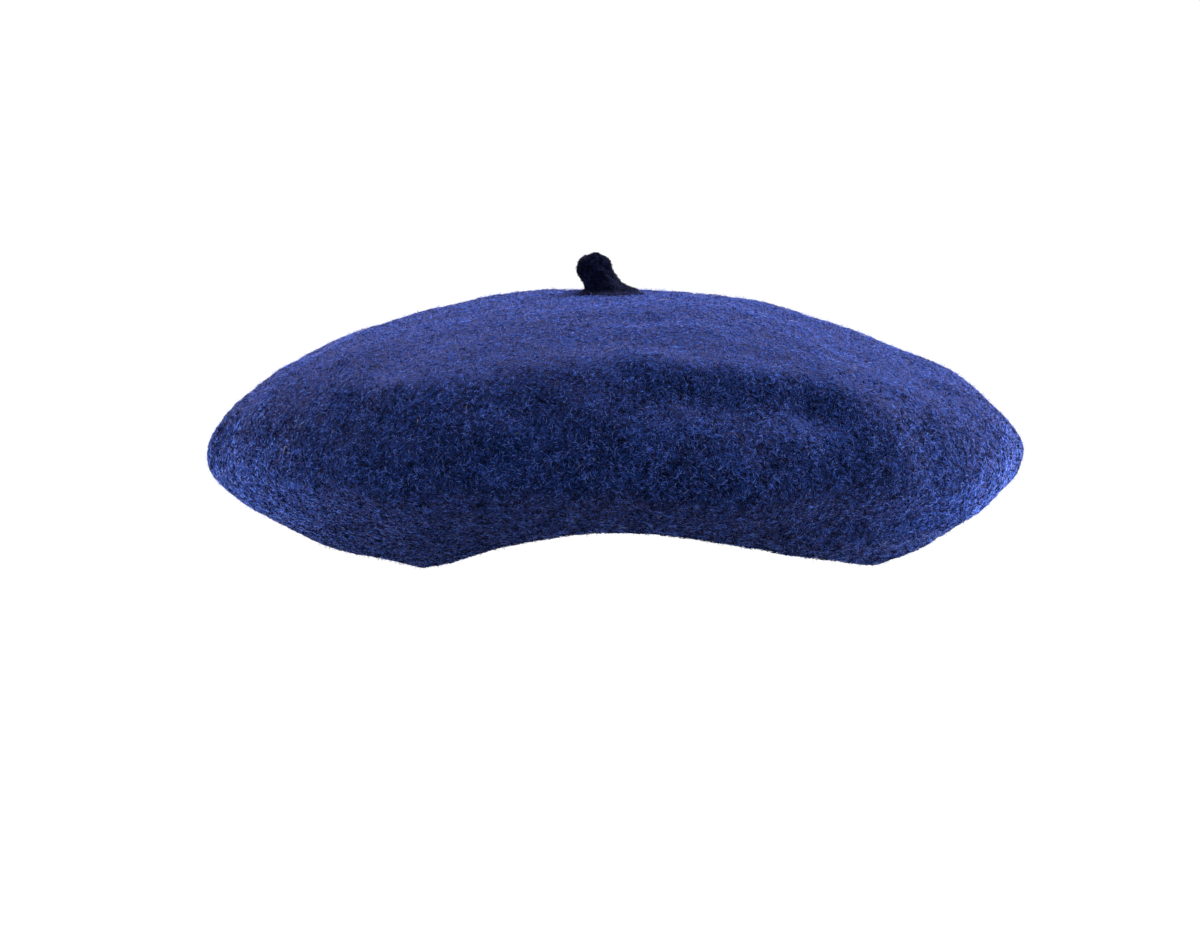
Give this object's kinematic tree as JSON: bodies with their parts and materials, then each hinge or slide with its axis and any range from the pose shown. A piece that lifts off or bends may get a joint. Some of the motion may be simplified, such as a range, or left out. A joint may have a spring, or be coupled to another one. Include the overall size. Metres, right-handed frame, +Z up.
{
  "type": "beret",
  "caption": "Round soft wool felt beret with a short stem on the crown, an elastic edge, a ribbon sweatband and blank inside labels.",
  "frame": {"origin": "middle of the head opening, level with the two lowest points of its rim, which are over the ears", "axes": "+Z up through the crown, -Y towards the wearer's front, +X towards the wearer's left"},
  "size_m": [0.2801, 0.2604, 0.108],
  "materials": {
    "wool_felt": "fuzzy felted wool, royal to navy blue, with a soft pale blue sheen",
    "stem_felt": "tight felted wool, dark navy blue",
    "ribbon": "ribbed grosgrain ribbon, dark navy",
    "elastic": "flat woven elastic, black",
    "thread": "sewing thread, navy",
    "label": "woven satin label, blank, off-white",
    "label_thread": "sewing thread, off-white"
  },
  "bodies": {
    "beret": {"felt_body": "wool_felt", "stem_tack": "thread", "hem_elastic": "elastic", "elastic_stitching": "thread", "sweatband": "ribbon", "sweatband_stitching": "thread", "lap_stitching": "thread", "care_label_stitching": "label_thread", "size_tab_stitching": "label_thread"},
    "stem": {"stem": "stem_felt"},
    "care_label": {"care_label": "label"},
    "size_tab": {"size_tab": "label"}
  },
  "joints": [
    {"name": "stem_tilt", "type": "hinge", "parent": "beret", "child": "stem", "pos_m": [-0.017, 0, 0.1004], "axis": [0, 1, 0], "range_deg": [-23, 77], "stiffness_Nm_per_rad": 0.002},
    {"name": "care_label_flap", "type": "hinge", "parent": "beret", "child": "care_label", "pos_m": [0, 0.09143, 0.04267], "axis": [-1, 0, 0], "range_deg": [0, 150]},
    {"name": "size_tab_flap", "type": "hinge", "parent": "beret", "child": "size_tab", "pos_m": [-0.02358, 0.08798, 0.0424], "axis": [-0.931, -0.365, 0], "range_deg": [0, 150]}
  ]
}
